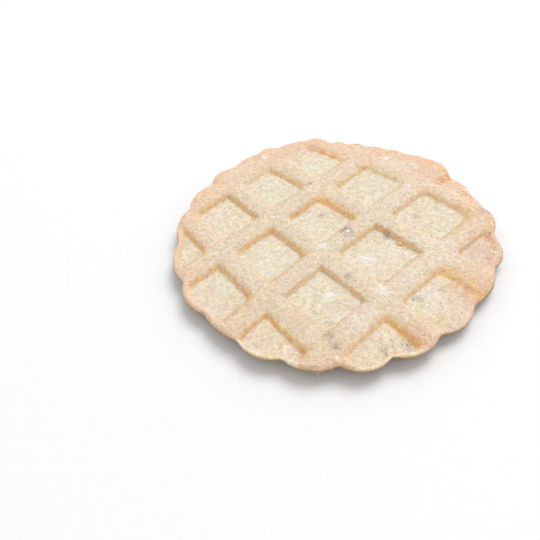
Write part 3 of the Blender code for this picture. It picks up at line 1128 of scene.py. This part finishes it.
def paintBody(thing, points, masks):
    side, sunk = masks["side"], masks["sunk"]
    inset = np.clip(masks["inset"], 0.0, None)
    topShare = 1.0 - smoothStep(*browning["topEnds"], side)
    spotShare = 1.0 - smoothStep(*browning["spotsEnd"], side)
    aboveFoot = 1.0 - masks["under"]
    patch = uneven(points, "brownPatches")
    softPatch = browning["patchiness"] * patch
    addMask(thing, "sunk", sunk * topShare)

    # browning grows towards the rim, and most at the back
    heatMean, heatSwing = browning["heat"]
    hot = heatMean + heatSwing * np.cos(np.radians(masks["angle"] - browning["darkest"]))
    coldReach, hotReach = browning["rimReachByHeat"]
    reach = browning["rimReach"] * (coldReach + hotReach * hot) * (1.0 + softPatch)
    near = np.exp(-(inset / reach) ** browning["rimFalloff"])
    coldRim, hotRim = browning["rimStrengthByHeat"]
    rim = browning["rimStrength"] * near * (coldRim + hotRim * hot) * (1.0 - browning["pitPaler"] * sunk)
    rim = np.clip(rim * (1.0 + browning["rimPatchiness"] * patch), 0.0, 1.0)
    addMask(thing, "rim", rim * aboveFoot)
    backLip = browning["backLip"] * hot ** 2 * np.exp(-(inset / browning["backLipReach"]) ** 2)
    toast = backLip + browning["grooveToast"] * masks["groove"]
    toast = toast * (browning["toastMean"] + uneven(points, "toastPatches"))
    addMask(thing, "toast", np.clip(toast, 0.0, browning["toastMost"]) * aboveFoot)

    # pit walls are painted tan from the shoulder down, browning together with painted shade, and end
    # sharply at the floor
    ragged = 1.0 + browning["wallPatchiness"] * patch + uneven(points, "wallPatches")
    wall = masks["brown"] * np.clip(masks["depth"] / browning["wallFullDepth"], 0.0, 1.0) * ragged
    addMask(thing, "wall", np.clip(browning["wallBrownAndShadeStrength"] * wall * topShare, 0.0, 1.0))
    addMask(thing, "nearWall", masks["nearWall"])
    # the lip gets a painted highlight
    addMask(thing, "lip", browning["lipHighlightStrength"] * masks["lip"] * aboveFoot * (1.0 + softPatch))

    # the side: browning deepened with painted shade, darker towards the foot
    addMask(thing, "side", smoothStep(*browning["sideStarts"], side) * aboveFoot)
    low = 1.0 - smoothStep(*browning["lowHeights"], masks["height"] + softPatch)
    addMask(thing, "sideLow", browning["lowStrength"] * low * (side > browning["lowFrom"]) * aboveFoot)
    addMask(thing, "under", masks["under"] * (browning["underStrength"] + softPatch))
    for index, (name, spots) in enumerate(marks.items()):
        seed = spotShape["seed"] + spotShape["seedStep"] * index
        addMask(thing, name, spotMask(points, spots, seed) * spotShare)


crust = crustMaterial()
bodyPoints, bodyFaces, bodyMasks = buildBodyMesh()
bodyPiece = newMesh("biscuitBody", toFrame(bodyPoints), bodyFaces, crust)
paintBody(bodyPiece, bodyPoints, bodyMasks)
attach(bodyPiece, "root")
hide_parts("biscuit")
bodySurface = BVHTree.FromPolygons(bodyPoints.tolist(), bodyFaces)
print("Body made")


rayStart = {"above": 10.0, "beside": 60.0}


def hitsOf(starts, directions):
    # (places, normals, found) where rays meet the body
    places, normals, found = [], [], []
    for start, direction in zip(starts, directions):
        place, normal, _, _ = bodySurface.ray_cast(start, direction)
        found.append(place is not None)
        places.append(place or Vector((0.0, 0.0, 0.0)))
        normals.append(normal or -direction)
    return np.array(places), np.array(normals), np.array(found)


def onTop(x, y):
    # the body's surface straight under points
    starts = [Vector((px, py, rayStart["above"])) for px, py in zip(x, y)]
    return hitsOf(starts, [Vector((0.0, 0.0, -1.0))] * len(starts))


def onWall(angles, heights):
    # and round the side, at angles in degrees and heights over the underside
    outward = [Vector((math.cos(angle), math.sin(angle), 0.0)) for angle in np.radians(angles)]
    starts = [Vector((*edge["centre"], height)) + rayStart["beside"] * way
              for way, height in zip(outward, heights)]
    return hitsOf(starts, [-way for way in outward])


def ballShape(divisions):
    bm = bmesh.new()
    bmesh.ops.create_icosphere(bm, subdivisions=divisions, radius=1.0)
    bm.verts.index_update()
    points = np.array([vert.co[:] for vert in bm.verts])
    faces = np.array([[vert.index for vert in face.verts] for face in bm.faces])
    bm.free()
    return points, faces


def lumpsOn(places, normals, halfSizes, settings):
    # one lump at each place, turned at random on the surface and partly sunk into it
    rng = np.random.default_rng(settings["seed"] + 1)
    shape, shapeFaces = ballShape(settings["divisions"])
    count = len(places)
    random = rng.normal(size=(count, 3))
    side = random - (random * normals).sum(axis=1, keepdims=True) * normals
    side /= np.linalg.norm(side, axis=1, keepdims=True)
    axes = np.stack([side, np.cross(normals, side), normals], axis=1)
    lumps = np.repeat(shape[None], count, axis=0) * halfSizes[:, None, :]
    lumps *= 1.0 + settings["lumpiness"] * rng.normal(size=(count, len(shape), 1))
    if "swell" in settings:                     # larger crumbs are knobbly
        swell, cell, spread = settings["swell"]
        seeds = rng.uniform(0.0, spread, (count, 1, 3))
        knobs = layeredNoise((shape[None] + seeds).reshape(-1, 3), cell, settings["seed"], layers=2)
        lumps *= 1.0 + swell * knobs.reshape(count, -1, 1)
    lift = (1.0 - 2.0 * settings["sunk"]) * halfSizes[:, 2:3] * normals
    points = lumps @ axes + (places + lift)[:, None, :]
    faces = shapeFaces[None] + (np.arange(count) * len(shape))[:, None, None]
    tones = np.repeat(rng.uniform(0.0, 1.0, count), len(shape))
    return points.reshape(-1, 3), faces.reshape(-1, 3), tones


def withSlimness(rng, halves, settings):
    # half the length, width and height of each grain
    return np.c_[halves, halves[:, None] * rng.uniform(*settings["slimness"], (len(halves), 2))]


loosePlaces = {
    "edgeGap": 0.25,
    "wallHeights": (0.5, 4.2),
}


def spotsOverTop(rng, count):
    angle, share = rng.uniform(-180.0, 180.0, count), np.sqrt(rng.uniform(size=count))
    return fromCentre(angle, (aroundOutline(outlineRadii, angle) - loosePlaces["edgeGap"]) * share)


def spotsInClusters(rng, clusters):
    x, y = [], []
    for centreX, centreY, radius, count in clusters:
        spread = rng.normal(size=(count, 2)) * radius / 2.0
        x += (centreX + spread[:, 0]).tolist()
        y += (centreY + spread[:, 1]).tolist()
    return np.array(x), np.array(y)


def joined(top, wall):
    return (np.concatenate(parts) for parts in zip(top, wall))


def scatterPiece(name, settings):
    # one joined mesh of small grains over the top, in clusters and round the side
    rng = np.random.default_rng(settings["seed"])
    x, y = spotsOverTop(rng, settings["count"])
    clusterX, clusterY = spotsInClusters(rng, settings["clusters"])
    top = onTop(np.r_[x, clusterX], np.r_[y, clusterY])
    wallCount = settings["onWall"]
    wallAngles = rng.uniform(-180.0, 180.0, wallCount)
    wall = onWall(wallAngles, rng.uniform(*loosePlaces["wallHeights"], wallCount))
    places, normals, found = joined(top, wall)
    halves = rng.uniform(*settings["size"], len(places)) / 2.0
    halfSizes = withSlimness(rng, halves, settings)
    parts = lumpsOn(places[found], normals[found], halfSizes[found], settings)
    return finishedPiece(name, *parts, settings, smooth=settings["smooth"])


def finishedPiece(name, points, faces, tones, settings, smooth=True):
    material = grainMaterial(settings["material"], {**grainFinish, **settings["finish"]})
    piece = newMesh(name, toFrame(points), faces.tolist(), material, smooth)
    addMask(piece, "tone", tones)
    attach(piece, "root")
    print(name, "of", len(faces), "triangles")
    return piece


grainFinish = {                      # what all the small pieces have in common
    "specular": 0.3, "speckSize": 0.5, "speckStrength": 0.5, "bumpStrength": 0.8,
    "glowColour": (1.0, 0.8, 0.6), "glowReach": 0.3,
}


def grainMaterial(name, finish):
    # each grain has its own tone between two colours
    material, tree, shader = newMaterial(name, finish)
    place = newNode(tree, "ShaderNodeTexCoord").outputs["Object"]
    tone = newNode(tree, "ShaderNodeAttribute", attribute_name="tone").outputs["Fac"]
    grain = placeGroup(tree, "sandyGrain", place=place, grainSize=finish["grainSize"],
                       speckSize=finish["speckSize"], speckShare=finish["speckShare"])
    base = mixColour(tree, tone, finish["light"], finish["dark"])
    specks = calc(tree, "MULTIPLY", grain.outputs["Specks"], finish["speckStrength"])
    base = mixColour(tree, specks, base, finish["dark"])
    base = grainyColour(tree, base, grain.outputs["Grain"], place, finish)
    finishDough(tree, shader, base, grain.outputs["Height"], finish)
    return material


sugarGrains = {
    "seed": 501, "count": 1500, "onWall": 110, "divisions": 2, "lumpiness": 0.13, "sunk": 0.60,
    "size": (0.12, 0.26), "slimness": (0.6, 1.0), "smooth": False,
    # x, y, radius and number of grains of each cluster
    "clusters": [(1.0, -9.9, 2.4, 26), (8.6, 0.1, 2.6, 24), (10.8, -9.1, 1.6, 12),
                 (-5.9, -24.2, 1.8, 30), (-13.0, -20.6, 1.6, 26), (-10.6, -22.6, 2.2, 26),
                 (17.5, -9.6, 2.2, 20), (5.0, 7.2, 1.8, 16), (25.0, -5.0, 5.0, 40),
                 (11.0, -21.0, 2.6, 14)],
    "material": "sugar",
    "finish": {
        "light": srgb(252, 249, 242), "dark": srgb(246, 236, 214), "roughness": 0.45,
        "specular": 0.5, "grainSize": 0.08, "grainContrast": 0.10, "speckShare": 0.0,
        "yellowing": 0.05, "reddening": 0.0, "bumpHeight": 0.00003, "glow": 0.3,
    },
}
toastedGrains = {
    "seed": 521, "count": 480, "onWall": 70, "divisions": 2, "lumpiness": 0.10, "sunk": 0.68,
    "size": (0.12, 0.32), "slimness": (0.5, 1.0), "smooth": True,
    "clusters": [(26.8, 22.3, 1.6, 10), (28.6, 23.4, 1.0, 6), (32.0, 18.6, 0.8, 5),
                 (33.4, 3.0, 1.8, 14), (16.4, -19.4, 1.6, 14), (21.8, 11.9, 2.6, 12),
                 (10.0, 28.8, 1.0, 8), (24.8, -9.4, 1.8, 14), (14.6, 10.2, 2.0, 8)],
    "material": "toastedCrumb",
    "finish": {
        "light": srgb(224, 192, 154), "dark": srgb(198, 158, 122), "roughness": 0.7,
        "grainSize": 0.10, "grainContrast": 0.25, "speckShare": 0.1,
        "yellowing": 0.08, "reddening": 0.05, "bumpHeight": 0.00003, "glow": 0.1,
    },
}
aniseFlecks = {
    "seed": 541, "count": 16, "onWall": 6, "divisions": 2, "lumpiness": 0.10, "sunk": 0.66,
    "size": (0.24, 0.60), "slimness": (0.3, 0.6), "smooth": True,
    "clusters": [(17.2, -10.4, 1.6, 3), (5.0, 7.7, 1.7, 10), (0.3, -19.6, 1.2, 6),
                 (1.4, -21.5, 0.9, 4), (5.0, -6.0, 0.9, 6), (13.6, 6.4, 1.4, 5),
                 (22.0, -8.5, 1.2, 2), (9.8, -21.5, 1.4, 5), (-2.5, 22.9, 0.9, 4),
                 (0.4, 13.4, 1.2, 5), (-3.8, 7.8, 0.8, 2), (20.4, 12.2, 1.0, 1),
                 (19.6, 9.1, 0.6, 2), (23.7, 6.2, 0.8, 2), (14.4, -20.4, 0.9, 3),
                 (34.9, 12.6, 1.2, 3)],
    "material": "anise",
    "finish": {
        "light": srgb(202, 172, 160), "dark": srgb(172, 140, 132), "roughness": 0.6,
        "specular": 0.35, "grainSize": 0.12, "grainContrast": 0.35, "speckShare": 0.15,
        "yellowing": 0.06, "reddening": 0.05, "bumpHeight": 0.00004, "glow": 0.0,
    },
}

scatterPiece("sugarGrains", sugarGrains)
scatterPiece("toastedGrains", toastedGrains)
scatterPiece("aniseFlecks", aniseFlecks)

# Crumbs that are larger: x, y and length of those on the top; angle, height and length of those
# round the side
crumbShape = {
    "divisions": 3, "lumpiness": 0.025, "sunk": 0.62, "slimness": (0.55, 0.9),
    "swell": (0.30, 0.7, 40.0),      # of the knobs, their size, and the room for different ones
    "looseLength": (0.22, 0.55),
}
doughCrumbs = {
    **crumbShape, "seed": 561, "loose": 46,
    "top": [(15.7, 31.4, 2.2), (14.8, 31.6, 1.1), (32.2, 19.0, 1.7), (32.4, 18.0, 1.1),
            (33.6, 0.6, 1.1), (33.2, 1.3, 0.7), (33.7, -0.6, 0.6), (1.6, -24.4, 0.9),
            (1.2, -24.0, 0.5), (-20.3, -14.3, 0.8), (-19.4, -15.8, 0.7), (-18.5, -17.0, 0.8),
            (5.6, 7.4, 0.4), (14.2, 5.7, 0.4), (20.4, -18.9, 0.5), (21.0, -19.5, 0.6)],
    "wall": [(-27.0, 3.9, 0.8), (-96.3, 1.6, 0.9), (-92.0, 2.0, 0.5), (7.5, 3.7, 0.6),
             (62.0, 3.6, 0.5), (128.0, 3.0, 0.6), (171.0, 3.3, 0.7), (-148.0, 2.6, 0.6)],
    "material": "doughCrumb",
    "finish": {
        "light": srgb(251, 241, 216), "dark": srgb(243, 220, 180), "roughness": 0.8,
        "grainSize": 0.18, "grainContrast": 0.25, "speckShare": 0.1,
        "yellowing": 0.05, "reddening": 0.02, "bumpHeight": 0.00008, "glow": 0.15,
    },
}
toastedBits = {
    **crumbShape, "seed": 571, "loose": 12,
    "top": [(15.8, 3.9, 1.4), (16.4, 3.5, 0.6), (10.5, 29.0, 0.8), (9.1, 28.9, 0.7),
            (31.6, 17.4, 0.8), (8.2, 36.4, 0.6), (4.6, 15.1, 0.6), (33.3, 4.4, 0.8),
            (33.5, 2.4, 0.7), (25.9, 21.7, 0.6), (28.2, 23.6, 0.7), (5.2, 12.6, 0.5)],
    "wall": [(40.0, 3.8, 0.5), (95.0, 3.6, 0.6), (-60.0, 3.0, 0.5)],
    "material": "orangeCrumb",
    "finish": {
        "light": srgb(250, 216, 162), "dark": srgb(240, 192, 138), "roughness": 0.7,
        "specular": 0.35, "grainSize": 0.16, "grainContrast": 0.30, "speckShare": 0.1,
        "yellowing": 0.10, "reddening": 0.06, "bumpHeight": 0.00007, "glow": 0.15,
    },
}


def crumbPiece(name, settings):
    # crumbs at their own places and a few loose ones
    rng = np.random.default_rng(settings["seed"])
    looseX, looseY = spotsOverTop(rng, settings["loose"])
    looseLength = rng.uniform(*settings["looseLength"], settings["loose"])
    x, y, length = np.array(settings["top"]).T
    angle, height, wallLength = np.array(settings["wall"]).T
    top = onTop(np.r_[x, looseX], np.r_[y, looseY])
    places, normals, found = joined(top, onWall(angle, height))
    halfSizes = withSlimness(rng, np.r_[length, looseLength, wallLength] / 2.0, settings)
    parts = lumpsOn(places[found], normals[found], halfSizes[found], settings)
    return finishedPiece(name, *parts, settings)


crumbPiece("doughCrumbs", doughCrumbs)
crumbPiece("toastedBits", toastedBits)

flakes = {
    "seed": 581, "seedStep": 10, "bumpySeed": 3,
    "rings": 7, "segments": 30, "ragged": 0.16, "under": 0.05,
    # x, y, length, width, turn in degrees, thickness and tone of each flake
    "named": [(1.0, -9.2, 2.2, 1.1, -22.0, 0.04, 0.45), (8.6, 0.3, 2.4, 1.0, -14.0, 0.05, 0.6),
              (-0.1, 2.1, 1.4, 0.8, 0.0, 0.04, 0.8),
              (5.4, 6.6, 1.0, 0.6, 40.0, 0.05, 0.1), (4.6, 8.5, 0.6, 0.4, 70.0, 0.05, 0.2),
              (1.5, -24.0, 1.1, 0.6, 80.0, 0.05, 0.2), (-6.6, -24.2, 1.2, 0.6, -15.0, 0.05, 0.3),
              (17.4, -9.4, 0.9, 0.5, 20.0, 0.04, 0.4)],
    "loose": 34, "looseLength": (0.35, 0.85), "looseWidth": (0.4, 0.8),  # the width in lengths
    "looseThickness": (0.03, 0.05), "looseTone": (0.3, 1.0),
    "outlineCell": 0.8,
    "bumpy": 0.5, "bumpyCell": 0.5,  # share of the thickness that comes and goes
    "edgeSharpness": 4,
    "edgeSunk": 0.015,
    "material": "flour",
    "finish": {
        "light": srgb(254, 253, 250), "dark": srgb(243, 238, 226), "roughness": 0.9,
        "specular": 0.15, "grainSize": 0.20, "grainContrast": 0.12, "speckShare": 0.0,
        "yellowing": 0.04, "reddening": 0.0, "bumpHeight": 0.00004, "glow": 0.2,
    },
}


def flakeMesh(flake, seed):
    # a thin ragged flake that lies on the surface under it, closed underneath
    x, y, length, width, turn, thickness, _ = flake
    rings, segments = flakes["rings"], flakes["segments"]
    around = np.arange(segments) * 2.0 * math.pi / segments
    circle = onPlane(np.cos(around), np.sin(around))
    outline = 1.0 + flakes["ragged"] * layeredNoise(circle, flakes["outlineCell"], seed, layers=2)
    turned = math.radians(turn)
    across = [np.array([[x, y]])]
    shares = (np.arange(rings) + 1.0) / rings
    for share in shares:
        alongX = share * outline * np.cos(around) * length / 2.0
        alongY = share * outline * np.sin(around) * width / 2.0
        across.append(np.c_[
            x + alongX * math.cos(turned) - alongY * math.sin(turned),
            y + alongX * math.sin(turned) + alongY * math.cos(turned),
        ])
    flat = np.concatenate(across)
    places, _, found = onTop(flat[:, 0], flat[:, 1])
    share = np.r_[0.0, np.repeat(shares, segments)]
    bumps = layeredNoise(places, flakes["bumpyCell"], seed + flakes["bumpySeed"], layers=2)
    lift = thickness * (1.0 + flakes["bumpy"] * bumps) * (1.0 - share ** flakes["edgeSharpness"])
    top = places + np.c_[np.zeros((len(flat), 2)), lift - flakes["edgeSunk"]]
    points = np.r_[top, places[:1] - (0.0, 0.0, flakes["under"])]
    faces = []
    for i in range(segments):
        after = (i + 1) % segments
        faces.append((0, 1 + i, 1 + after))
        for ring in range(rings - 1):
            inner, outer = 1 + ring * segments, 1 + (ring + 1) * segments
            faces.append((inner + i, outer + i, outer + after))
            faces.append((inner + i, outer + after, inner + after))
        last = 1 + (rings - 1) * segments
        faces.append((len(points) - 1, last + after, last + i))
    return points, np.array(faces), found.all()


def flakePiece(name):
    rng = np.random.default_rng(flakes["seed"])
    x, y = spotsOverTop(rng, flakes["loose"])
    lengths = rng.uniform(*flakes["looseLength"], flakes["loose"])
    loose = [
        (px, py, length, length * rng.uniform(*flakes["looseWidth"]), rng.uniform(0.0, 180.0),
         rng.uniform(*flakes["looseThickness"]), rng.uniform(*flakes["looseTone"]))
        for px, py, length in zip(x, y, lengths)
    ]
    allPoints, allFaces, tones, start = [], [], [], 0
    for index, flake in enumerate([*flakes["named"], *loose]):
        points, faces, found = flakeMesh(flake, flakes["seed"] + flakes["seedStep"] * index)
        if not found:
            continue
        allPoints.append(points)
        allFaces.append(faces + start)
        tones.append(np.full(len(points), flake[-1]))
        start += len(points)
    parts = [np.concatenate(rows) for rows in (allPoints, allFaces, tones)]
    return finishedPiece(name, *parts, flakes)


flakePiece("flourFlakes")


stage = {
    "floorSize": 1.6,
    "floorColour": srgb(251, 251, 250),
    "floorFinish": {"roughness": 0.9, "specular": 0.1},
    "floorTones": (0.985, 1.0),      # the card is a little uneven
    "floorGrain": 900.0,             # per metre
    "skyColour": srgb(252, 252, 255),
    "worldStrength": 0.66,
    "keyPower": 3.15,
    "keyPlace": (0.22, 0.31, 0.67),
    "keySize": 0.50,
}


def buildFloor():
    bm = bmesh.new()
    bmesh.ops.create_grid(bm, x_segments=2, y_segments=2, size=stage["floorSize"] / 2.0)
    mesh = bpy.data.meshes.new("floor")
    bm.to_mesh(mesh)
    bm.free()
    material, tree, shader = newMaterial("floorCard", stage["floorFinish"])
    noise = newNode(tree, "ShaderNodeTexNoise", {"Scale": stage["floorGrain"], "Detail": 2.0})
    tone = remap(tree, noise.outputs["Fac"], *grainSpan, *stage["floorTones"])
    tinted = mixColour(tree, 1.0, stage["floorColour"], tone, "MULTIPLY")
    tree.links.new(tinted, shader.inputs["Base Color"])
    mesh.materials.append(material)
    floor = bpy.data.objects.new("floor", mesh)
    bpy.context.scene.collection.objects.link(floor)


def addAreaLight(name, place, size, power):
    light = bpy.data.lights.new(name, "AREA")
    light.shape = "DISK"
    light.size = size
    light.energy = power
    lamp = bpy.data.objects.new(name, light)
    lamp.location = place
    lamp.rotation_euler = (-Vector(place)).to_track_quat("-Z", "Y").to_euler()
    bpy.context.scene.collection.objects.link(lamp)


def buildLight():
    world = bpy.data.worlds.new("studio")
    world.use_nodes = True
    sky = world.node_tree.nodes["Background"]
    sky.inputs["Color"].default_value = stage["skyColour"]
    sky.inputs["Strength"].default_value = stage["worldStrength"]
    bpy.context.scene.world = world
    addAreaLight("keyLight", stage["keyPlace"], stage["keySize"], stage["keyPower"])
    bpy.context.scene.view_settings.view_transform = "Standard"
    bpy.context.scene.view_settings.look = "None"


view = {
    "place": (-2.608, -70.432, 72.665),  # millimetres from the rib crossing, above the rib tops
    "elevation": 47.4,
    "azimuth": -6.73,
    "roll": -5.96,
    "imageSize": 540,
    "focalPixels": 504.0,
    "sensorWidth": 36.0,
    "clip": (0.005, 5.0),            # metres
}


def buildCamera():
    camera = bpy.data.objects.new("camera", bpy.data.cameras.new("camera"))
    bpy.context.scene.collection.objects.link(camera)
    camera.data.sensor_width = view["sensorWidth"]
    camera.data.lens = view["sensorWidth"] * view["focalPixels"] / view["imageSize"]
    camera.data.clip_start, camera.data.clip_end = view["clip"]
    x, y, z = view["place"]
    place = toFrame([x, y, z + cadHigh.z / mm])
    turn = Matrix.Rotation(-math.radians(view["azimuth"]), 4, "Z")
    turn = turn @ Matrix.Rotation(math.radians(90.0 - view["elevation"]), 4, "X")
    turn = turn @ Matrix.Rotation(math.radians(view["roll"]), 4, "Z")
    camera.matrix_world = Matrix.Translation(Vector(place)) @ turn
    bpy.context.scene.camera = camera


buildFloor()
buildLight()
buildCamera()
print("Floor, light and camera made")
